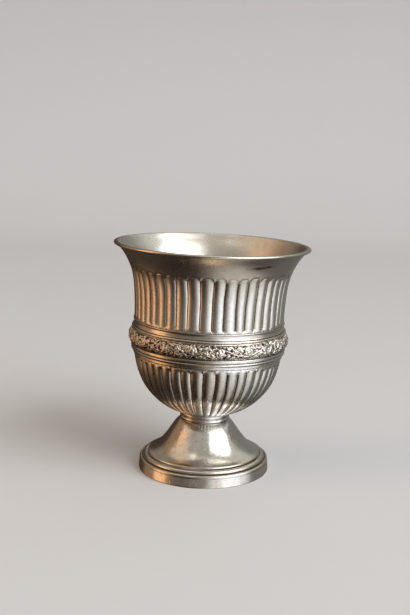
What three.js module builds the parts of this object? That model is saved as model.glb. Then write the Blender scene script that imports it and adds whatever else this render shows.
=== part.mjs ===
// Footed silver vase of campana form: flared lip, wall of convex upright lobes, floral cushion band with plain
// mouldings, lobed round bowl, two-reed neck collar, trumpet foot, step moulding and a skirted base rim.
// Millimetres, +Z up. The vase stands on z = 0. Azimuth 0 faces -Y and grows towards +X.
import * as THREE from 'three';

// ---- driving dimensions ----
const RIM_RADIUS = 49.0;          // outside of the lip wire
const RIM_Z = 115.9;              // top of the lip, measured up the leaning axis
const SHEET = 0.95;               // thickness of the raised shells, measured across the wall
const SEAM = 0.3;                 // solder seam left between neighbouring pieces
const WALL_R = 36.7;              // plain edges of both shells behind the bands
const BAND_INNER_R = WALL_R + SEAM;
const BUTT_Z = 69.65;             // where the two shells meet, behind the ornament
const UPPER_LOBES = 44;
const LOWER_LOBES = 42;
const LOBE_DEPTH = 0.0224;        // groove depth as a share of the radius
const LEAN_DEG = 1.26;            // the old neck is bent: the bowl leans towards +X over its level foot
const BEND_FROM_Z = 14;           // the bend starts here in the foot
const BEND_TO_Z = 26;             // and is complete at the neck
const RING_SEGMENTS = 48;         // sides of the turned rings
const NECK_SEGMENTS = 36;

// The lobes were chased by hand and their spacing wanders. Grooves across the front, degrees; the rest are even.
const UPPER_GROOVES = [-65.3, -57.3, -49.2, -41.3, -33.2, -25.0, -16.4, -7.3, 1.6, 9.9, 18.6, 26.3, 34.6, 43.1, 51.2, 59.7, 67.4];
const LOWER_GROOVES = [-62.0, -53.8, -45.6, -37.2, -28.8, -20.4, -12.4, -2.9, 6.5, 15.4, 24.0, 31.5, 40.0, 48.3, 56.6, 64.2];

// ---- the bent axis ----
const lean = (LEAN_DEG * Math.PI) / 180;
function leanAt(z) {
  const t = Math.min(Math.max((z - BEND_FROM_Z) / (BEND_TO_Z - BEND_FROM_Z), 0), 1);
  return lean * t * t * (3 - 2 * t);
}
// centre of the ring at height z up the axis: straight below the bend, straight above it, summed finely between
function axisAt(z) {
  if (z <= BEND_FROM_Z) return [0, z];
  let x = 0;
  let h = BEND_FROM_Z;
  const top = Math.min(z, BEND_TO_Z);
  const n = 48;
  const dz = (top - BEND_FROM_Z) / n;
  for (let i = 0; i < n; i++) {
    const a = leanAt(BEND_FROM_Z + (i + 0.5) * dz);
    x += Math.sin(a) * dz;
    h += Math.cos(a) * dz;
  }
  if (z > BEND_TO_Z) {
    x += Math.sin(lean) * (z - BEND_TO_Z);
    h += Math.cos(lean) * (z - BEND_TO_Z);
  }
  return [x, h];
}
// With the rim leaning over, the middle of the overall box lies off the foot's centre: the origin is moved there.
const rimAxis = axisAt(RIM_Z - 0.4);
const ORIGIN_X = rimAxis[0];

function place(r, azimuth, z) {
  const a = leanAt(z);
  const [cx, cz] = axisAt(z);
  const u = r * Math.sin(azimuth);
  return [cx + u * Math.cos(a) - ORIGIN_X, -r * Math.cos(azimuth), cz - u * Math.sin(a)];
}

// ---- azimuth grids ----
function lobeGrid(front, count, perLobe) {
  const grooves = front.slice();
  const rest = count - (front.length - 1);
  const gap = front[0] + 360 - front[front.length - 1];
  for (let i = 1; i < rest; i++) grooves.push(front[front.length - 1] + (gap * i) / rest);
  const out = [];
  for (let i = 0; i < count; i++) {
    const a = grooves[i];
    const b = i + 1 < count ? grooves[i + 1] : grooves[0] + 360;
    for (let k = 0; k < perLobe; k++) {
      const u = k / perLobe;
      out.push({ azimuth: ((a + (b - a) * u) * Math.PI) / 180, drop: lobeDrop(u) });
    }
  }
  return out;
}
// 0 on a lobe's crest, 1 in the groove: a circular arc between two sharp grooves
function lobeDrop(u) {
  const half = 0.7; // half the arc, radians
  const s = Math.asin(Math.min(Math.abs(2 * u - 1) * Math.sin(half), 1));
  return (1 - Math.cos(s)) / (1 - Math.cos(half));
}
function evenGrid(n) {
  return Array.from({ length: n }, (_, i) => ({ azimuth: (2 * Math.PI * i) / n, drop: 0 }));
}

// ---- turned bodies ----
// rows: [radius, z, lobe share]; listed up the outside first, so the faces point out. A first or last radius of 0
// closes on the axis; otherwise the profile closes on itself.
function turned(rows, grid) {
  const position = [];
  const index = [];
  const n = grid.length;
  const rings = rows.map(([r, z, k = 0]) => {
    if (r === 0) {
      position.push(...place(0, 0, z));
      return [position.length / 3 - 1];
    }
    const first = position.length / 3;
    for (const g of grid) position.push(...place(r - r * LOBE_DEPTH * k * g.drop, g.azimuth, z));
    return Array.from({ length: n }, (_, i) => first + i);
  });
  const open = rows[0][0] === 0;
  const spans = open ? rings.length - 1 : rings.length;
  for (let s = 0; s < spans; s++) {
    const a = rings[s];
    const b = rings[(s + 1) % rings.length];
    for (let i = 0; i < n; i++) {
      const j = (i + 1) % n;
      if (a.length === 1) index.push(a[0], b[j], b[i]);
      else if (b.length === 1) index.push(a[i], a[j], b[0]);
      else {
        index.push(a[i], a[j], b[j]);
        index.push(a[i], b[j], b[i]);
      }
    }
  }
  const g = new THREE.BufferGeometry();
  g.setAttribute('position', new THREE.Float32BufferAttribute(position, 3));
  g.setIndex(index);
  g.computeVertexNormals();
  return g;
}

const vase = new THREE.Group();
function add(name, rows, grid, colour, roughness) {
  const m = new THREE.Mesh(turned(rows, grid), new THREE.MeshStandardMaterial({ color: colour, roughness, metalness: 1 }));
  m.name = name;
  vase.add(m);
}

const rings = evenGrid(RING_SEGMENTS);
const upper = lobeGrid(UPPER_GROOVES, UPPER_LOBES, 3);
const lower = lobeGrid(LOWER_GROOVES, LOWER_LOBES, 3);

// Wire round the lip, outside the sheet's edge
add('lip_wire', [
  [47.5, 114.75], [48.35, 114.6], [48.95, 115.05], [RIM_RADIUS, 115.5], [48.65, RIM_Z], [47.75, RIM_Z],
], rings, 0xd9d6cf, 0.25);

// Upper shell: plain edge, lobes, flare; then down the inside
add('upper_bowl', [
  [WALL_R, BUTT_Z + SEAM / 2], [WALL_R, 77.75], [37.6, 78.1, 0.5], [37.85, 79.3, 1], [37.8, 84.0, 1], [38.1, 91.0, 1],
  [38.75, 97.5, 1], [39.9, 102.3, 1], [40.55, 103.7, 0.5], [41.0, 104.6], [42.95, 108.7], [45.3, 112.2], [47.15, 115.75],
  [46.2, 115.75], [44.3, 112.0], [40.0, 104.6], [37.8, 97.5, 0.6], [36.95, 88.0, 0.6], [36.8, 79.0, 0.6],
  [WALL_R - SHEET, 77.0], [WALL_R - SHEET, BUTT_Z + SEAM / 2],
], upper, 0xc9c6be, 0.3);

// Plain hollow strip under the lobes
add('collar_band', [
  [BAND_INNER_R, 74.7], [38.15, 74.7], [37.85, 75.3], [37.75, 76.2], [37.85, 76.9], [38.05, 77.45], [BAND_INNER_R, 77.45],
], rings, 0xcfccc5, 0.25);

// Bead wire
add('bead_wire', [
  [BAND_INNER_R, 73.4], [38.3, 73.4], [38.75, 73.65], [38.8, 74.0], [38.45, 74.4], [BAND_INNER_R, 74.4],
], rings, 0xd4d1ca, 0.25);

// Floral cushion band
add('ornament_band', [
  [BAND_INNER_R, 65.5], [38.8, 65.5], [39.7, 66.3], [40.45, 67.9], [40.6, 69.6], [40.2, 71.3], [39.2, 72.7], [38.3, 73.1],
  [BAND_INNER_R, 73.1],
], rings, 0xb9b5ab, 0.4);

// Fillet, groove, ridge and narrow flat under the ornament
add('reed_band', [
  [BAND_INNER_R, 60.5], [37.65, 60.5], [37.75, 62.1], [38.5, 62.45], [38.7, 62.85], [38.2, 63.5], [38.85, 64.1],
  [38.9, 65.2], [BAND_INNER_R, 65.2],
], rings, 0xcac7bf, 0.28);

// Lower shell: closed floor, lobes, plain edge; then down the inside to the bowl's floor
add('lower_bowl', [
  [0, 30.2], [10.0, 30.2], [12.2, 30.3, 0.5], [19.0, 32.15, 1], [25.6, 36.4, 1], [30.9, 42.0, 1], [34.4, 48.0, 1],
  [36.4, 54.0, 1], [37.2, 58.7, 1], [37.1, 59.7, 0.5], [WALL_R, 60.2], [WALL_R, BUTT_Z - SEAM / 2],
  [WALL_R - SHEET, BUTT_Z - SEAM / 2], [WALL_R - SHEET, 60.2], [36.1, 58.2, 0.6], [34.9, 51.5, 0.6], [31.0, 44.0, 0.6],
  [24.6, 37.2, 0.6], [17.5, 32.9, 0.6], [10.0, 31.4], [0, 31.2],
], lower, 0xbdb9b0, 0.32);

// Two reeds at the neck
add('neck_collar', [
  [9.6, 26.3], [12.2, 26.3], [12.6, 27.1], [12.1, 27.9], [11.75, 28.15], [12.1, 28.45], [12.3, 29.1], [11.6, 29.9],
  [9.6, 29.9],
], evenGrid(NECK_SEGMENTS), 0xd2cfc8, 0.25);

// Trumpet foot: out over the outside from the lower edge to the top, then down the inside
add('foot_cone', [
  [27.3, 8.2], [28.6, 8.2], [28.5, 9.0], [26.8, 9.65], [24.9, 10.95], [22.8, 12.95], [20.6, 15.5], [18.5, 18.2], [16.6, 21.2],
  [14.9, 23.7], [13.4, 25.3], [12.5, 26.0], [9.7, 26.0], [9.7, 25.0], [12.4, 24.6], [14.9, 21.4], [18.8, 15.9], [22.9, 11.4],
  [25.9, 9.0],
], rings, 0xd0cdc6, 0.25);

// Step moulding under the trumpet's edge
add('step_wire', [
  [27.0, 6.5], [31.1, 6.5], [31.05, 7.1], [30.4, 7.8], [29.3, 7.95], [28.8, 7.9], [27.0, 7.9],
], rings, 0xcac7bf, 0.28);

// Base rim: inner flange, ridge, and the skirt that the vase stands on
add('base_rim', [
  [31.6, 0], [33.3, 0], [33.45, 0.4], [33.0, 4.8], [32.85, 5.5], [32.3, 6.1], [31.6, 6.2], [27.0, 6.2], [27.0, 5.2], [31.2, 5.1],
  [31.4, 0.4],
], rings, 0xcdcac3, 0.28);

export default vase;
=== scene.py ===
import bpy, math
import numpy as np
from mathutils import Matrix, Vector


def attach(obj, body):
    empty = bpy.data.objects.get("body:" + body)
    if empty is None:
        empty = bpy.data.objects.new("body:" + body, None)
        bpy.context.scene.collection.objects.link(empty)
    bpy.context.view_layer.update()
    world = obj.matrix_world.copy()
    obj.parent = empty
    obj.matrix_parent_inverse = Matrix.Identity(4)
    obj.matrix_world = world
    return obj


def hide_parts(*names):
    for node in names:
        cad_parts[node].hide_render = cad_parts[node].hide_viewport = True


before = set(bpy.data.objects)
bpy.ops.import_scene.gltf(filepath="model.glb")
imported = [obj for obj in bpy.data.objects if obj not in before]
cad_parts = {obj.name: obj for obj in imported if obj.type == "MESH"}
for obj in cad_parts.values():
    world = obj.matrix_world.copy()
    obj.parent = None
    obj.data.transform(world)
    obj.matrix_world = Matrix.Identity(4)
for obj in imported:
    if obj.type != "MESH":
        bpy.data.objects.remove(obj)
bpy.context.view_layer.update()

# ---------------------------------------------------------------- frame of the vase (millimetres here, metres in the mesh)
LEAN = math.radians(1.26)
BEND0, BEND1 = 14.0, 26.0


def lean_at(z):
    t = np.clip((np.asarray(z, float) - BEND0) / (BEND1 - BEND0), 0, 1)
    return LEAN * t * t * (3 - 2 * t)


_h = np.linspace(BEND0, BEND1, 193)
_m = lean_at((_h[1:] + _h[:-1]) / 2)
_cx = np.concatenate([[0], np.cumsum(np.sin(_m) * np.diff(_h))])
_cz = BEND0 + np.concatenate([[0], np.cumsum(np.cos(_m) * np.diff(_h))])


def axis_at(z):
    z = np.asarray(z, float)
    over = np.maximum(z - BEND1, 0)
    x = np.interp(z, _h, _cx) + np.sin(LEAN) * over
    h = np.where(z <= BEND0, z, np.interp(z, _h, _cz) + np.cos(LEAN) * over)
    return x, h


ORIGIN_X = float(axis_at(115.5)[0])


def place(r, az, z):
    """Point at radius r and azimuth az (0 faces -Y, grows to +X) on the ring at height z up the bent axis, in metres."""
    a = lean_at(z)
    cx, cz = axis_at(z)
    u = r * np.sin(az)
    return np.stack([cx + u * np.cos(a) - ORIGIN_X, -r * np.cos(az), cz - u * np.sin(a)], -1) / 1000


def smooth_step(t):
    t = np.clip(t, 0, 1)
    return t * t * (3 - 2 * t)


def chaikin(pts, rounds=3, closed=True):
    p = np.asarray(pts, float)
    for _ in range(rounds):
        q = np.roll(p, -1, 0) if closed else p[1:]
        b = p if closed else p[:-1]
        m = np.empty((2 * len(b), 2))
        m[0::2] = b * 0.75 + q * 0.25
        m[1::2] = b * 0.25 + q * 0.75
        p = m if closed else np.concatenate([p[:1], m, p[-1:]])
    return p


def along(pts, n):
    """n points at equal steps along an open line."""
    p = np.asarray(pts, float)
    s = np.concatenate([[0], np.cumsum(np.hypot(*np.diff(p, axis=0).T))])
    t = np.linspace(0, s[-1], n)
    return np.stack([np.interp(t, s, p[:, 0]), np.interp(t, s, p[:, 1])], 1)


def waver(az, z, size, seed):
    """Slow unevenness of hand work, mean zero: a sum of fixed waves."""
    out = 0.0
    rng = np.random.RandomState(seed)
    for k in range(9):
        n = rng.randint(2, 15)
        f = rng.uniform(-0.22, 0.22)
        ph = rng.uniform(0, 6.283)
        out = out + np.sin(n * az + f * z + ph) * rng.uniform(0.4, 1.0) / (1 + 0.12 * n)
    return out * size / 3.0


def mesh_of(name, P, tarn_and_shade, node, mat, open_ends=False):
    """A closed body from a grid of points: rows by azimuth. open_ends: first and last rows are single points."""
    rows, n = P.shape[:2]
    if open_ends:
        v = np.concatenate([P[0, :1], P[1:-1].reshape(-1, 3), P[-1, :1]])
        t = np.concatenate([tarn_and_shade[0, :1], tarn_and_shade[1:-1].ravel(), tarn_and_shade[-1, :1]])
        base = 1 + np.arange(rows - 2)[:, None] * n
        i = np.arange(n)[None]
        j = (i + 1) % n
        a = (base[:-1] + i).ravel(); b = (base[:-1] + j).ravel(); c = (base[1:] + j).ravel(); d = (base[1:] + i).ravel()
        quads = np.stack([a, b, c, d], 1)
        i = np.arange(n); j = (i + 1) % n
        first = np.stack([np.zeros(n, int), 1 + j, 1 + i], 1)
        last_base = 1 + (rows - 3) * n
        last = np.stack([last_base + i, last_base + j, np.full(n, len(v) - 1)], 1)
        tris = np.concatenate([first, last])
    else:
        v = P.reshape(-1, 3)
        t = tarn_and_shade.ravel()
        base = np.arange(rows)[:, None] * n
        nxt = np.roll(base, -1, 0)
        i = np.arange(n)[None]
        j = (i + 1) % n
        quads = np.stack([(base + i).ravel(), (base + j).ravel(), (nxt + j).ravel(), (nxt + i).ravel()], 1)
        tris = np.zeros((0, 3), int)
    me = bpy.data.meshes.new(name)
    me.vertices.add(len(v))
    me.vertices.foreach_set("co", v.astype(np.float32).ravel())
    loops = np.concatenate([quads.ravel(), tris.ravel()]).astype(np.int32)
    me.loops.add(len(loops))
    me.loops.foreach_set("vertex_index", loops)
    starts = np.concatenate([np.arange(len(quads)) * 4, len(quads) * 4 + np.arange(len(tris)) * 3]).astype(np.int32)
    me.polygons.add(len(starts))
    me.polygons.foreach_set("loop_start", starts)
    me.polygons.foreach_set("use_smooth", np.ones(len(starts), bool))
    me.update(calc_edges=True)
    me.validate()
    at = me.attributes.new("tarnish_and_shade", "FLOAT", "POINT")
    at.data.foreach_set("value", t.astype(np.float32))
    ob = bpy.data.objects.new(name, me)
    bpy.context.scene.collection.objects.link(ob)
    me.materials.append(mat)
    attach(ob, "root")
    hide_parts(node)
    return ob


# ---------------------------------------------------------------- materials
def silver(name, bright, dark, rough, tarn_lo, tarn_hi, scratch=0.12, grain=900.0, mottle=0.10):
    """Old polished silver: warm tarnished colour and painted shade where the tarnish_and_shade value is high, fine
    rubbed scratches, uneven gloss.
    """
    m = bpy.data.materials.new(name)
    m.use_nodes = True
    nt = m.node_tree
    N, L = nt.nodes, nt.links
    N.clear()
    out = N.new("ShaderNodeOutputMaterial")
    p = N.new("ShaderNodeBsdfPrincipled")
    p.inputs["Metallic"].default_value = 1.0
    L.new(p.outputs[0], out.inputs[0])
    tc = N.new("ShaderNodeTexCoord")
    at = N.new("ShaderNodeAttribute"); at.attribute_name = "tarnish_and_shade"

    def noise(scale, detail, roughness, vec=None, mapping=None):
        t = N.new("ShaderNodeTexNoise")
        t.inputs["Scale"].default_value = scale
        t.inputs["Detail"].default_value = detail
        t.inputs["Roughness"].default_value = roughness
        src = tc.outputs["Object"]
        if mapping:
            mp = N.new("ShaderNodeMapping")
            mp.inputs["Scale"].default_value = mapping[0]
            mp.inputs["Rotation"].default_value = mapping[1]
            L.new(src, mp.inputs[0]); src = mp.outputs[0]
        L.new(src, t.inputs["Vector"])
        return t.outputs["Fac"]

    def ramp(fac, lo, hi, a=0.0, b=1.0):
        r = N.new("ShaderNodeMapRange")
        r.inputs["From Min"].default_value = lo; r.inputs["From Max"].default_value = hi
        r.inputs["To Min"].default_value = a; r.inputs["To Max"].default_value = b
        r.interpolation_type = "SMOOTHSTEP"
        L.new(fac, r.inputs["Value"])
        return r.outputs[0]

    def math_(op, a, b):
        x = N.new("ShaderNodeMath"); x.operation = op
        for i, s in enumerate((a, b)):
            if isinstance(s, (int, float)):
                x.inputs[i].default_value = s
            else:
                L.new(s, x.inputs[i])
        return x.outputs[0]

    patch = noise(55, 5, 0.6)
    fine = noise(420, 6, 0.65)
    # tarnished recesses plus painted shade (bowl underside, left of the lower bowl, lower half of the floral band),
    # from the tarnish_and_shade value, broken up by patches
    t = math_("ADD", at.outputs["Fac"], math_("MULTIPLY", math_("SUBTRACT", patch, 0.5), 0.9))
    t = math_("ADD", t, math_("MULTIPLY", math_("SUBTRACT", fine, 0.5), 0.8))
    tarn_and_shade = ramp(t, tarn_lo, tarn_hi)
    mix = N.new("ShaderNodeMix"); mix.data_type = "RGBA"
    mix.inputs[6].default_value = (*bright, 1); mix.inputs[7].default_value = (*dark, 1)
    L.new(tarn_and_shade, mix.inputs[0])
    # faint warm and cool clouds in the polish
    cloud = ramp(noise(30, 3, 0.5), 0.35, 0.7)
    mix2 = N.new("ShaderNodeMix"); mix2.data_type = "RGBA"; mix2.blend_type = "MULTIPLY"
    tint = N.new("ShaderNodeMix"); tint.data_type = "RGBA"
    tint.inputs[6].default_value = (0.99, 0.99, 1.0, 1); tint.inputs[7].default_value = (0.90, 0.85, 0.77, 1)
    L.new(cloud, tint.inputs[0])
    mix2.inputs[0].default_value = 1.0
    L.new(mix.outputs[2], mix2.inputs[6]); L.new(tint.outputs[2], mix2.inputs[7])
    spots = noise(520, 7, 0.72)
    mot = ramp(spots, 0.34, 0.56, 1.0 - 1.25 * mottle, 1.0)
    mix3 = N.new("ShaderNodeMix"); mix3.data_type = "RGBA"; mix3.blend_type = "MULTIPLY"
    mix3.inputs[0].default_value = 1.0
    L.new(mix2.outputs[2], mix3.inputs[6]); L.new(mot, mix3.inputs[7])
    L.new(mix3.outputs[2], p.inputs["Base Color"])
    # rubbed scratches: two stretched noises, crossing
    s1 = noise(grain, 3, 0.7, mapping=((1.0, 1.0, 0.06), (0.25, 0.1, 0.3)))
    s2 = noise(grain * 0.8, 3, 0.7, mapping=((0.08, 1.0, 1.0), (0.5, 0.9, 0.2)))
    sc = math_("ADD", ramp(s1, 0.62, 0.74), ramp(s2, 0.64, 0.76))
    r = math_("ADD", rough, math_("MULTIPLY", math_("SUBTRACT", patch, 0.45), 0.16))
    r = math_("ADD", r, math_("MULTIPLY", sc, 0.10))
    r = math_("ADD", r, math_("MULTIPLY", tarn_and_shade, 0.22))
    r = math_("ADD", r, math_("MULTIPLY", math_("SUBTRACT", 1.0, mot), 0.5))
    r = math_("MAXIMUM", r, 0.06)
    L.new(r, p.inputs["Roughness"])
    b = N.new("ShaderNodeBump")
    b.inputs["Strength"].default_value = scratch
    b.inputs["Distance"].default_value = 0.00012
    hgt = math_("ADD", math_("MULTIPLY", fine, 0.8), math_("MULTIPLY", sc, -0.5))
    hgt = math_("ADD", hgt, math_("MULTIPLY", spots, 1.2 * mottle))
    L.new(hgt, b.inputs["Height"])
    L.new(b.outputs[0], p.inputs["Normal"])
    return m


SHELL = silver("silver_shell", (0.92, 0.90, 0.855), (0.10, 0.07, 0.045), 0.27, 0.50, 1.20, scratch=0.35)
LOWER = silver("silver_lower", (0.89, 0.865, 0.81), (0.10, 0.07, 0.045), 0.235, 0.45, 1.15, scratch=0.35, mottle=0.14)
BAND = silver("silver_band", (0.92, 0.90, 0.855), (0.16, 0.11, 0.07), 0.20, 0.55, 1.2, scratch=0.25)
WIRE = silver("silver_wire", (0.95, 0.925, 0.86), (0.2, 0.14, 0.09), 0.17, 0.7, 1.4, scratch=0.25)
ORNA = silver("silver_ornament", (0.96, 0.92, 0.86), (0.06, 0.045, 0.035), 0.24, 0.42, 1.05, scratch=0.3)
FOOT = silver("silver_foot", (0.92, 0.90, 0.855), (0.26, 0.20, 0.14), 0.14, 0.34, 1.05, scratch=0.5, mottle=0.14)

# ---------------------------------------------------------------- the lobed shells
UPPER_GROOVES = [-65.3, -57.3, -49.2, -41.3, -33.2, -25.0, -16.4, -7.3, 1.6, 9.9, 18.6, 26.3, 34.6, 43.1, 51.2, 59.7, 67.4]
LOWER_GROOVES = [-62.0, -53.8, -45.6, -37.2, -28.8, -20.4, -12.4, -2.9, 6.5, 15.4, 24.0, 31.5, 40.0, 48.3, 56.6, 64.2]


def lobe_grid(front, count, per, seed):
    g = list(front)
    rest = count - (len(front) - 1)
    gap = front[0] + 360 - front[-1]
    rng = np.random.RandomState(seed)
    g += [front[-1] + gap * i / rest + rng.uniform(-0.45, 0.45) for i in range(1, rest)]
    g.append(g[0] + 360)
    az, u, which = [], [], []
    for i in range(count):
        for k in range(per):
            uu = 0.5 * (1 - math.cos(math.pi * k / per))
            az.append(math.radians(g[i] + (g[i + 1] - g[i]) * uu)); u.append(uu); which.append(i)
    return np.array(az), np.array(u), np.array(which)


def lobe_drop(u, half=0.72):
    e = np.abs(2 * u - 1)
    s = np.arcsin(np.clip(e * math.sin(half), 0, 1))
    return 0.82 * (1 - np.cos(s)) / (1 - math.cos(half)) + 0.13 * np.clip((e - 0.86) / 0.14, 0, 1) ** 1.3


PER = 16
DEPTH = 0.0235

# upper shell: crest line of the outside, from the hidden plain edge to the lip, then the inside
az, u, which = lobe_grid(UPPER_GROOVES, 44, PER, 11)
drop = lobe_drop(u)
edge = np.abs(2 * u - 1)
flare = chaikin([(37.75, 79.5), (37.75, 82.0), (37.85, 86.0), (38.1, 90.5), (38.45, 94.5), (38.95, 98.0), (39.75, 101.5), (40.8, 104.4),
                 (41.9, 106.9), (43.15, 109.2), (44.6, 111.4), (46.2, 113.4), (47.3, 114.9), (47.45, 115.6)], 3, closed=False)
lobed = flare[flare[:, 1] < 106]
plain = flare[flare[:, 1] >= 106]
outer = np.concatenate([
    [(36.7, 69.8), (36.7, 73.5), (36.75, 77.5), (37.2, 77.68), (37.5, 77.85)],
    along(np.concatenate([[(37.75, 78.0)], lobed]), 60),
    along(np.concatenate([lobed[-1:], plain]), 18)[1:],
])
lip = [(47.35, 115.78), (47.05, 115.85), (46.7, 115.78)]
inside = chaikin([(46.55, 115.6), (45.6, 113.9), (44.2, 112.0), (42.7, 109.9), (41.2, 107.2), (39.9, 104.6), (38.7, 101.0), (37.75, 96.5),
                  (37.1, 90.0), (36.9, 82.0), (36.7, 79.0), (36.2, 77.6), (35.75, 76.3), (35.75, 74.0)], 2, closed=False)
inner = np.concatenate([along(inside, 24), [(35.75, 72.0), (35.75, 69.8)]])
prof = np.concatenate([outer, lip, inner])
is_in = np.arange(len(prof)) >= len(outer)
R = np.repeat(prof[:, :1], len(az), 1)
Z = np.repeat(prof[:, 1:], len(az), 1)
A = np.repeat(az[None], len(prof), 0)
rng = np.random.RandomState(5)
jit_t = rng.uniform(-0.25, 0.25, 44)[which]
jit_b = rng.uniform(-0.15, 0.15, 44)[which]
jit_d = rng.uniform(0.88, 1.12, 44)[which]
ph = rng.uniform(0, 6.283, 45); ph[44] = ph[0]
bend = lambda k: np.sin(Z * 0.21 + ph[k][None]) + 0.5 * np.sin(Z * 0.53 + 2.3 * ph[k][None])
A = A + math.radians(0.17) * (bend(which) * (1 - u[None]) + bend(which + 1) * u[None]) * smooth_step((Z - 77.6) / 3) * smooth_step((105.5 - Z) / 3)
z_top = 104.25 + jit_t - 1.5 * edge ** 3.0
z_bot = 78.15 + jit_b + 0.7 * edge ** 3.0
K = smooth_step((z_top[None] - Z) / 1.1 + 0.25) * smooth_step((Z - z_bot[None]) / 0.9 + 0.25)
K = np.where(is_in[:, None], K * 0.55, K)
line = np.exp(-((Z - (z_top[None] + 0.15)) / 0.28) ** 2) + 0.6 * np.exp(-((Z - (z_bot[None] - 0.1)) / 0.25) ** 2)
line = np.where(is_in[:, None], 0, line)
lob = K * drop[None] * jit_d[None]
R = R - R * DEPTH * lob - 0.22 * line
free = smooth_step((Z - 77.6) / 4)
R = R + waver(A, Z, 0.10, 3) * free * smooth_step((115.4 - Z) / 3)
groove = np.exp(-((1 - edge) / 0.085) ** 2)[None] * K
tarn_and_shade = np.where(is_in[:, None], 0.15 + 0.2 * lob, 0.17 + 1.0 * groove + 0.2 * lob + 0.75 * line)
tarn_and_shade = tarn_and_shade + np.where(is_in[:, None], 0, 0.3 * np.exp(-((Z - 105.6) / 1.4) ** 2))
for a0, z0, wa, wz, k in ((29, 109.6, 9, 1.1, 0.95), (38, 110.3, 6, 0.9, 0.7), (-38, 110.5, 16, 2.6, 0.45), (-66, 108, 14, 4, 0.5), (9, 107.2, 6, 0.6, 0.45),
                          (150, 109, 12, 1.6, 0.6), (-140, 111, 10, 1.4, 0.6)):
    da = (np.degrees(A) - a0 + 180) % 360 - 180
    tarn_and_shade = tarn_and_shade + np.where(is_in[:, None], 0, k * np.exp(-(da / wa) ** 2 - ((Z - z0) / wz) ** 2))
mesh_of("upper_bowl_shell", place(R, A, Z), tarn_and_shade, "upper_bowl", SHELL)

# lower shell: closed floor, lobes, plain edge, and down the inside to the bowl's floor
az, u, which = lobe_grid(LOWER_GROOVES, 42, PER, 12)
drop = lobe_drop(u)
edge = np.abs(2 * u - 1)
belly = chaikin([(10.0, 30.2), (13.0, 30.35), (17.0, 31.35), (21.3, 33.4), (25.6, 36.6), (29.2, 40.2), (32.2, 44.2), (34.4, 48.6),
                 (35.9, 53.0), (36.85, 57.3), (37.15, 59.3)], 3, closed=False)
outer = np.concatenate([[(0, 30.2), (5.0, 30.2)], along(belly, 74), [(37.1, 59.75), (36.95, 60.1), (36.7, 60.3), (36.7, 63.0), (36.7, 69.5)]])
hollow = chaikin([(35.75, 62.0), (35.85, 59.0), (35.3, 54.0), (34.0, 49.3), (31.6, 44.8), (28.3, 40.8), (24.6, 37.4), (20.4, 34.5),
                  (16.2, 32.5), (12.0, 31.5), (8.0, 31.25)], 2, closed=False)
inner = np.concatenate([[(35.75, 69.5), (35.75, 66.0)], along(hollow, 26), [(4.0, 31.2), (0, 31.2)]])
prof = np.concatenate([outer, inner])
is_in = np.arange(len(prof)) >= len(outer)
R = np.repeat(prof[:, :1], len(az), 1)
Z = np.repeat(prof[:, 1:], len(az), 1)
A = np.repeat(az[None], len(prof), 0)
rng = np.random.RandomState(7)
ph = rng.uniform(0, 6.283, 43); ph[42] = ph[0]
bend = lambda k: np.sin(Z * 0.23 + ph[k][None]) + 0.5 * np.sin(Z * 0.55 + 2.3 * ph[k][None])
A = A + math.radians(0.19) * (bend(which) * (1 - u[None]) + bend(which + 1) * u[None]) * smooth_step((R - 14) / 8) * smooth_step((60.3 - Z) / 3)
z_top = 59.75 + rng.uniform(-0.2, 0.2, 42)[which] - 1.3 * edge ** 3.0
jit_d = rng.uniform(0.88, 1.12, 42)[which]
K = smooth_step((z_top[None] - Z) / 1.0 + 0.2) * smooth_step((R - 11.6) / 3.0)
K = np.where(is_in[:, None], K * 0.55, K)
line = np.where(is_in[:, None], 0, np.exp(-((Z - (z_top[None] + 0.1)) / 0.25) ** 2))
lob = K * drop[None] * jit_d[None]
W = R * DEPTH * lob * 1.1
slope = smooth_step((R - 22) / 12)
R = R - W * (0.45 + 0.55 * slope) - 0.18 * line
Z = Z + np.where(is_in[:, None], 0.0, W * 0.75 * (1 - slope))
mid = smooth_step((R - 14) / 6) * smooth_step((60.0 - Z) / 4)
R = R + waver(A, Z, 0.10, 8) * mid
groove = np.exp(-((1 - edge) / 0.095) ** 2)[None] * K
# tarnish in the grooves and hollows; the last term is painted shade, darkening the underside of the bowl towards the
# stem
tarn_and_shade = np.where(is_in[:, None], 0.25 + 0.3 * lob, 0.22 + 1.0 * groove + 0.2 * lob + 0.7 * line + 0.3 * smooth_step((20 - R) / 8))
# painted shade: the left side of the lower bowl is darker, fading out towards its top
left = (np.degrees(A) + 180) % 360 - 180
tarn_and_shade = tarn_and_shade + np.where(is_in[:, None], 0, 0.28 * np.exp(-((left + 60) / 26) ** 2) * smooth_step((60 - Z) / 8))
mesh_of("lower_bowl_shell", place(R, A, Z), tarn_and_shade, "lower_bowl", LOWER, open_ends=True)


# ---------------------------------------------------------------- turned rings and the foot
def turned(name, node, mat, ctrl, n=360, rounds=3, wob=0.02, seed=1, dirt=(), base_tarn=0.1):
    """A ring from a closed outline; dirt lists (radius, height, width, amount) of tarnished recesses."""
    p = chaikin(ctrl, rounds)
    a = np.arange(n) * 2 * math.pi / n
    R = np.repeat(p[:, :1], n, 1); Z = np.repeat(p[:, 1:], n, 1); A = np.repeat(a[None], len(p), 0)
    T = np.full_like(R, base_tarn)
    for r0, z0, w, k in dirt:
        T += k * np.exp(-((R - r0) ** 2 + (Z - z0) ** 2) / w ** 2)
    R = R + waver(A, Z, wob, seed)
    return mesh_of(name, place(R, A, Z), T, node, mat)


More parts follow.
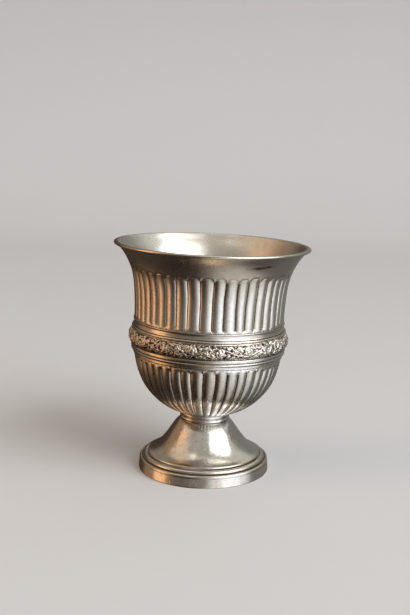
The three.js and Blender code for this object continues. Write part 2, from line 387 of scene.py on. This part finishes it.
turned("lip_wire_ring", "lip_wire", WIRE, [
    (47.45, 114.75), (47.9, 114.45), (48.5, 114.55), (48.95, 114.95), (49.02, 115.4), (48.8, 115.8), (48.3, 115.95), (47.75, 115.95), (47.5, 115.8),
    (47.45, 115.3)], rounds=2, wob=0.03, seed=21, dirt=[(47.6, 114.6, 0.4, 0.9)])
turned("collar_band_ring", "collar_band", BAND, [
    (37.0, 74.55), (37.9, 74.55), (38.15, 74.7), (38.02, 75.0), (37.85, 75.5), (37.78, 76.1), (37.82, 76.7), (37.98, 77.15), (38.15, 77.45),
    (38.1, 77.72), (37.9, 77.78), (37.0, 77.7)], rounds=2, wob=0.03, seed=22, dirt=[(38.1, 74.6, 0.35, 1.0), (38.0, 77.8, 0.2, 0.5)])
turned("bead_wire_ring", "bead_wire", WIRE, [
    (37.0, 73.3), (38.1, 73.3), (38.5, 73.4), (38.75, 73.65), (38.85, 73.95), (38.75, 74.2), (38.5, 74.42), (38.1, 74.48), (37.0, 74.48)],
    rounds=2, wob=0.03, seed=23, dirt=[(38.2, 73.3, 0.4, 1.0), (38.2, 74.5, 0.3, 0.8)])
turned("reed_band_ring", "reed_band", BAND, [
    (37.0, 60.45), (37.5, 60.45), (37.75, 60.55), (37.8, 61.0), (37.85, 61.7), (37.95, 62.05), (38.1, 62.2), (38.5, 62.35), (38.75, 62.6),
    (38.82, 62.9), (38.7, 63.15), (38.4, 63.35), (38.1, 63.45), (38.15, 63.6), (38.55, 63.7), (38.85, 63.8), (38.95, 64.1), (39.0, 64.7),
    (38.95, 65.15), (38.8, 65.3), (37.0, 65.3)], rounds=2, wob=0.03, seed=24,
    dirt=[(38.1, 63.5, 0.35, 1.1), (37.95, 62.1, 0.3, 0.7), (38.8, 65.4, 0.4, 0.9), (37.6, 60.4, 0.4, 0.9)])
turned("neck_collar_ring", "neck_collar", BAND, [
    (9.6, 26.2), (11.9, 26.2), (12.4, 26.4), (12.68, 26.8), (12.7, 27.2), (12.5, 27.6), (12.1, 27.9), (11.85, 28.08), (12.05, 28.3), (12.3, 28.6),
    (12.4, 29.0), (12.25, 29.45), (11.9, 29.8), (11.3, 30.0), (9.6, 30.0)], n=256, rounds=2, wob=0.03, seed=25,
    dirt=[(11.8, 28.08, 0.35, 1.1), (12.1, 26.15, 0.4, 0.5), (11.6, 30.0, 0.5, 1.0)])
turned("foot_cone_shell", "foot_cone", FOOT, [
    (27.3, 8.15), (28.0, 8.1), (28.55, 8.15), (28.7, 8.4), (28.68, 8.8), (28.4, 9.05), (27.6, 9.3), (26.4, 9.85), (24.9, 10.95), (23.4, 12.3),
    (21.9, 13.9), (20.3, 15.9), (18.7, 18.0), (17.2, 20.3), (15.8, 22.5), (14.4, 24.3), (13.3, 25.35), (12.6, 25.85), (12.0, 26.0), (9.7, 26.0),
    (9.7, 25.0), (11.6, 24.95), (12.9, 24.0), (14.9, 21.4), (16.8, 18.6), (18.8, 15.9), (20.8, 13.4), (22.9, 11.2), (25.0, 9.4), (26.2, 8.6)],
    n=400, rounds=3, wob=0.12, seed=26, dirt=[(12.6, 25.8, 0.5, 0.35), (28.6, 8.1, 0.4, 0.6), (26.8, 9.7, 0.5, 0.25)])
turned("step_wire_ring", "step_wire", BAND, [
    (27.0, 6.4), (30.9, 6.4), (31.15, 6.5), (31.2, 6.8), (31.1, 7.2), (30.8, 7.6), (30.4, 7.85), (29.8, 7.98), (29.3, 7.92), (28.95, 7.8),
    (28.6, 7.85), (27.0, 7.85)], rounds=2, wob=0.03, seed=27, dirt=[(28.8, 7.85, 0.4, 0.7), (31.2, 6.45, 0.4, 0.7)])
turned("base_rim_ring", "base_rim", FOOT, [
    (31.6, 0.0), (32.4, 0.0), (33.2, 0.0), (33.45, 0.15), (33.45, 0.6), (33.3, 2.0), (33.12, 3.8), (33.02, 4.7), (33.08, 5.0), (33.05, 5.45),
    (32.85, 5.85), (32.5, 6.08), (32.1, 6.12), (31.8, 6.0), (31.6, 6.05), (31.3, 6.2), (27.0, 6.2), (27.0, 5.2), (31.2, 5.1), (31.35, 2.5),
    (31.4, 0.3)], n=400, rounds=3, wob=0.05, seed=28, dirt=[(31.6, 6.05, 0.4, 1.1), (33.05, 4.75, 0.25, 0.5)])

# ---------------------------------------------------------------- the floral band
NA, NV = 1600, 54
cushion = chaikin([(38.35, 65.55), (39.3, 65.9), (40.1, 66.9), (40.45, 68.1), (40.5, 69.4), (40.3, 70.8), (39.7, 72.0), (38.8, 72.85), (38.2, 73.05)], 3, closed=False)
front = along(cushion, NV)
s_arc = np.concatenate([[0], np.cumsum(np.hypot(*np.diff(front, axis=0).T))])
v = (s_arc - s_arc[-1] / 2)[:, None] + np.zeros((1, NA))
half_v = s_arc[-1] / 2
az = np.arange(NA) * 2 * math.pi / NA
uu = np.degrees(az)[None] + np.zeros((NV, 1))
MM = 40.4 * math.pi / 180  # millimetres per degree round the band


def local(deg, vc):
    du = ((uu - deg + 180) % 360 - 180) * MM
    return du, v - vc


H = np.zeros((NV, NA))


def put(h):
    global H
    H = np.maximum(H, h)


def rose(deg, vc, size, turn, petals=5):
    a, b = local(deg, vc)
    rho = np.hypot(a, b) / size
    phi = np.arctan2(b, a) + turn
    lobes = np.abs(np.cos(petals / 2 * phi)) ** 0.55
    rim = 0.72 + 0.28 * lobes
    body = np.clip(1 - (rho / rim) ** 2, 0, 1) ** 0.5
    cut = 1 - 0.45 * (1 - lobes) * smooth_step((rho - 0.25) / 0.3)
    cup = 1 - 0.35 * np.exp(-((rho - 0.5) / 0.14) ** 2)
    put(0.92 * body * cut * cup)
    put(0.98 * np.clip(1 - (rho / 0.27) ** 2, 0, 1) ** 0.5)


def leaf(deg, vc, length, width, ang, high=0.8):
    a, b = local(deg, vc)
    c, s = math.cos(ang), math.sin(ang)
    x, y = (a * c + b * s) / length, (-a * s + b * c) / width
    taper = np.clip(1 - 0.45 * x, 0.3, 2)
    edge = 1 + 0.13 * np.cos(x * 17)
    m = np.clip(1 - x ** 2 - (y / (taper * edge)) ** 2, 0, 1)
    rib = 0.4 * np.exp(-(y / 0.12) ** 2) * (np.abs(x) < 0.9)
    vein = 0.12 * np.abs(np.sin(x * 9 + np.abs(y) * 4))
    put(high * m ** 0.45 * (1 - rib - vein))


def berry(deg, vc, size, high=0.85):
    a, b = local(deg, vc)
    put(high * np.clip(1 - (a ** 2 + b ** 2) / size ** 2, 0, 1) ** 0.5)


# winding stem, then groups of flowers, leaves and berries; no two groups quite alike
a0 = np.radians(uu)
stem = 2.1 * np.sin(9 * a0 + 0.6)
put(0.55 * np.exp(-((v - stem) / 0.34) ** 2))
put(0.45 * np.exp(-((v + 1.9 * np.sin(9 * a0 + 0.6)) / 0.26) ** 2))
rng = np.random.RandomState(41)
GROUPS = 18
for g in range(GROUPS):
    c0 = 8.7 + g * 360 / GROUPS + rng.uniform(-0.8, 0.8)
    flip = 1 if g % 2 else -1
    rose(c0, 0.5 * flip + rng.uniform(-0.2, 0.2), rng.uniform(2.5, 2.95), rng.uniform(0, 6.28), 5 if g % 3 else 6)
    rose(c0 + 10.2, -0.9 * flip, rng.uniform(1.55, 1.9), rng.uniform(0, 6.28), 5)
    for d, w, an in ((-4.6, 1.9 * flip, 0.6 * flip), (-4.9, -1.7 * flip, -0.7 * flip), (4.9, 2.1 * flip, 2.5 * flip), (5.3, -2.6 * flip, -2.4 * flip),
                     (9.4, 2.3 * flip, 0.25 * flip), (12.6, 1.7 * flip, -0.9 * flip), (7.7, -3.0 * flip, 0.5 * flip), (13.4, -2.7 * flip, 2.7 * flip)):
        leaf(c0 + d + rng.uniform(-0.3, 0.3), w + rng.uniform(-0.15, 0.15), rng.uniform(1.45, 1.95), rng.uniform(0.6, 0.8), an + rng.uniform(-0.25, 0.25),
             rng.uniform(0.68, 0.85))
    for d, w in ((-2.9, 3.0 * flip), (3.2, -3.2 * flip), (7.2, 3.4 * flip), (-6.9, 0.1), (13.9, 0.3 * flip), (11.4, 3.6 * flip), (1.2, 3.5 * flip), (15.6, -3.4 * flip)):
        berry(c0 + d, w, rng.uniform(0.42, 0.62), rng.uniform(0.6, 0.8))
# small petals and buds crowd all the ground between the motifs
rngb = np.random.RandomState(77)
circ = 360 * MM
nb = 820
pu = rngb.uniform(0, circ, nb); pv = rngb.uniform(-half_v, half_v, nb)
ps = rngb.uniform(1.0, 1.5, nb); pt = rngb.uniform(0, math.pi, nb); ph = rngb.uniform(0.28, 0.62, nb)
U1 = uu[0] * MM
bud = np.full((NV, NA), 9.0); bud2 = np.full((NV, NA), 9.0); hi = np.zeros((NV, NA))
order = np.argsort(pu)
for k in order:
    du = (U1 - pu[k] + circ / 2) % circ - circ / 2
    cols = np.where(np.abs(du) < 2.2)[0]
    a_, b_ = du[cols][None], v[:, cols] - pv[k]
    c, sn = math.cos(pt[k]), math.sin(pt[k])
    d = np.hypot((a_ * c + b_ * sn) / 1.5, (-a_ * sn + b_ * c) / 0.8) / ps[k]
    old, old2 = bud[:, cols], bud2[:, cols]
    new2 = np.where(d < old, old, np.minimum(old2, d))
    hi[:, cols] = np.where(d < old, ph[k], hi[:, cols])
    bud[:, cols] = np.minimum(old, d); bud2[:, cols] = new2
ground = hi * smooth_step((bud2 - bud) / 0.34) * np.clip(1.05 - 0.6 * bud, 0, 1)
H = np.maximum(H, np.maximum(ground, 0.08))
# rubbed tops, and a plain margin at both edges
H = np.tanh(H * 1.3) / math.tanh(1.3)
side = smooth_step((half_v - np.abs(v)) / 0.32)
H = H * side
tan = np.gradient(front, axis=0)
nrm = np.stack([tan[:, 1], -tan[:, 0]], 1)
nrm /= np.linalg.norm(nrm, axis=1)[:, None]
RELIEF = 0.95
off = (H - 0.95) * RELIEF * side + 0.0
Rf = front[:, :1] + nrm[:, :1] * off
Zf = front[:, 1:] + nrm[:, 1:] * off
back = np.array([(37.4, 73.1), (37.02, 73.0), (37.0, 69.3), (37.02, 65.6), (37.4, 65.5)])
R = np.concatenate([Rf, np.repeat(back[:, :1], NA, 1)])
Z = np.concatenate([Zf, np.repeat(back[:, 1:], NA, 1)])
A = np.repeat(az[None], len(R), 0)
gy, gx = np.gradient(H)
steep = np.clip(np.hypot(gx, gy) * 3.0, 0, 1)
lower_half_shade = smooth_step((-v - 0.3) / 3.2)  # painted shade: the lower half of the cushion is darker
T = np.clip(1.2 - 1.45 * H + 0.25 * steep, 0, 1.15) * side + 0.3 * (1 - side) + 0.15 * lower_half_shade
T = np.concatenate([T, np.full((len(back), NA), 0.5)])
mesh_of("ornament_band_relief", place(R, A, Z), T, "ornament_band", ORNA)

# ---------------------------------------------------------------- floor, light and camera
def plain(name, colour, rough=0.6):
    m = bpy.data.materials.new(name); m.use_nodes = True
    p = m.node_tree.nodes["Principled BSDF"]
    p.inputs["Base Color"].default_value = (*colour, 1); p.inputs["Roughness"].default_value = rough
    return m


pts = [(-1.6, 0.0), (0.9, 0.0)] + [(0.9 + 0.5 * math.sin(t), 0.5 - 0.5 * math.cos(t)) for t in np.linspace(0.1, math.pi / 2, 14)] + [(1.4, 2.6)]
me = bpy.data.meshes.new("studio_floor")
me.from_pydata([(x, y, z) for y, z in pts for x in (-2.6, 2.6)], [], [(2 * i, 2 * i + 1, 2 * i + 3, 2 * i + 2) for i in range(len(pts) - 1)])
for q in me.polygons: q.use_smooth = True
floor = bpy.data.objects.new("studio_floor", me)
bpy.context.scene.collection.objects.link(floor)
me.materials.append(plain("floor_paper", (0.60, 0.60, 0.61), 0.75))
floor.visible_glossy = False

world = bpy.data.worlds.new("studio"); bpy.context.scene.world = world
world.use_nodes = True
nt = world.node_tree; N, L = nt.nodes, nt.links; N.clear()
out = N.new("ShaderNodeOutputWorld"); bg = N.new("ShaderNodeBackground"); L.new(bg.outputs[0], out.inputs[0])
tc = N.new("ShaderNodeTexCoord"); sep = N.new("ShaderNodeSeparateXYZ"); L.new(tc.outputs["Generated"], sep.inputs[0])


def wm(op, a, b=None):
    x = N.new("ShaderNodeMath"); x.operation = op
    for i, s in enumerate((a, b)):
        if s is None: continue
        if isinstance(s, (int, float)): x.inputs[i].default_value = s
        else: L.new(s, x.inputs[i])
    return x.outputs[0]


elev = wm("MULTIPLY", wm("ARCSINE", sep.outputs[2]), 57.29578)
azim = wm("MULTIPLY", wm("ARCTAN2", sep.outputs[0], wm("MULTIPLY", sep.outputs[1], -1.0)), 57.29578)


def soft(x, lo, hi, w0, w1=None):
    """1 between lo and hi, with soft edges of w0 and w1 degrees."""
    w1 = w0 if w1 is None else w1
    def mr(a, b, c, d):
        r = N.new("ShaderNodeMapRange"); r.interpolation_type = "SMOOTHSTEP"
        r.inputs["From Min"].default_value = a; r.inputs["From Max"].default_value = b
        r.inputs["To Min"].default_value = c; r.inputs["To Max"].default_value = d
        L.new(x, r.inputs["Value"]); return r.outputs[0]
    return wm("MULTIPLY", mr(lo - w0 / 2, lo + w0 / 2, 0, 1), mr(hi - w1 / 2, hi + w1 / 2, 1, 0))


def over(base, mask, colour):
    x = N.new("ShaderNodeMix"); x.data_type = "RGBA"
    L.new(mask, x.inputs[0])
    if isinstance(base, tuple): x.inputs[6].default_value = (*base, 1)
    else: L.new(base, x.inputs[6])
    x.inputs[7].default_value = (*colour, 1)
    return x.outputs[2]


def patch(base, az, el, colour, wa=6, we=8, k=1.0):
    m = wm("MULTIPLY", soft(azim, az[0], az[1], wa), soft(elev, el[0], el[1], we))
    if k != 1.0: m = wm("MULTIPLY", m, k)
    return over(base, m, colour)


env = over((0.024, 0.016, 0.012), soft(elev, -44, 95, 40, 4), (0.040, 0.027, 0.019))   # dark below and at the left
env = patch(env, (76, 190), (-52, 10), (0.12, 0.115, 0.105), 30, 30)         # dim, low right
env = patch(env, (-8, 74), (-78, 10), (0.30, 0.275, 0.24), 26, 16)
env = patch(env, (16, 78), (-72, -38), (0.52, 0.50, 0.47), 24, 16)           # soft sheen, low right front
env = over(env, soft(elev, -16, 95, 14, 4), (0.15, 0.125, 0.10))             # middle grey in front
env = over(env, soft(elev, 36, 95, 16, 4), (0.37, 0.345, 0.30))
env = over(env, soft(elev, 71, 95, 8, 4), (0.80, 0.77, 0.69))                # bright overhead
env = patch(env, (-190, -104), (-60, 34), (0.05, 0.036, 0.026), 16, 30)      # dark, behind left
env = patch(env, (-190, -104), (20, 42), (0.23, 0.185, 0.14), 20, 14)
env = patch(env, (-190, -112), (42, 74), (0.21, 0.19, 0.15), 20, 14)
env = patch(env, (84, 190), (-20, 30), (0.20, 0.195, 0.18), 20, 18)          # grey, behind right
env = patch(env, (92, 190), (28, 84), (0.56, 0.57, 0.54), 24, 12)
env = patch(env, (-20, 8), (-14, 34), (0.22, 0.20, 0.175), 12, 14)
env = patch(env, (-126, -56), (-26, 44), (0.27, 0.165, 0.10), 14, 16)         # warm fill, left
env = patch(env, (-94, -68), (-26, 42), (1.10, 0.61, 0.31), 10, 16)          # warm softbox, left
env = patch(env, (-110, -58), (34, 66), (0.68, 0.52, 0.38), 16, 12)
env = patch(env, (10, 86), (-44, 40), (0.80, 0.80, 0.81), 16, 22)            # pale fill, right
env = patch(env, (32, 66), (-26, 34), (1.25, 1.28, 1.36), 16, 16)
env = patch(env, (25, 86), (20, 56), (2.9, 2.95, 3.05), 5, 6)                # large cool softbox, right front
env = patch(env, (-70, 64), (77, 85), (1.7, 1.63, 1.45), 20, 5)              # overhead softbox
env = patch(env, (-62, -28), (60, 75), (1.0, 0.94, 0.82), 8, 6)
env = over(env, soft(elev, -120, -84.5, 4), (2.3, 1.65, 1.1))                # small warm softbox right below
lp = N.new("ShaderNodeLightPath")
see = N.new("ShaderNodeMix"); see.data_type = "RGBA"
L.new(lp.outputs["Is Camera Ray"], see.inputs[0]); L.new(env, see.inputs[6]); see.inputs[7].default_value = (0.52, 0.52, 0.53, 1)
L.new(see.outputs[2], bg.inputs["Color"])
bg.inputs["Strength"].default_value = 1.0


def area(name, loc, to, size, power, colour):
    d = bpy.data.lights.new(name, "AREA"); d.shape = "RECTANGLE"; d.size, d.size_y = size
    d.energy = power; d.color = colour
    o = bpy.data.objects.new(name, d); bpy.context.scene.collection.objects.link(o)
    o.location = loc
    o.rotation_euler = (Vector(to) - Vector(loc)).to_track_quat("-Z", "Y").to_euler()
    o.visible_glossy = False
    o.visible_camera = False
    return o


area("softbox_right", (0.75, -0.65, 0.85), (0, 0, 0.05), (0.7, 0.9), 7.0, (1.0, 0.99, 0.97))
area("softbox_left", (-0.9, -0.2, 0.5), (0, 0, 0.05), (0.5, 0.6), 1.6, (1.0, 0.82, 0.66))

cam_data = bpy.data.cameras.new("camera")
cam = bpy.data.objects.new("camera", cam_data)
bpy.context.scene.collection.objects.link(cam)
# focal length 917.8 px on a 615 px long side
right, fwd, up = (0.99971, 0.00645, 0.02304), (-0.00207, 0.98268, -0.18532), (-0.02384, 0.18522, 0.98241)
cam.matrix_world = Matrix(((right[0], up[0], -fwd[0], (0.0 - ORIGIN_X) / 1000), (right[1], up[1], -fwd[1], -0.45474),
                           (right[2], up[2], -fwd[2], 0.16910), (0, 0, 0, 1)))
cam_data.lens = 917.84 / 615 * 36
cam_data.sensor_width = 36.0
cam_data.clip_start = 0.01
bpy.context.scene.camera = cam
bpy.context.scene.view_settings.view_transform = "Standard"
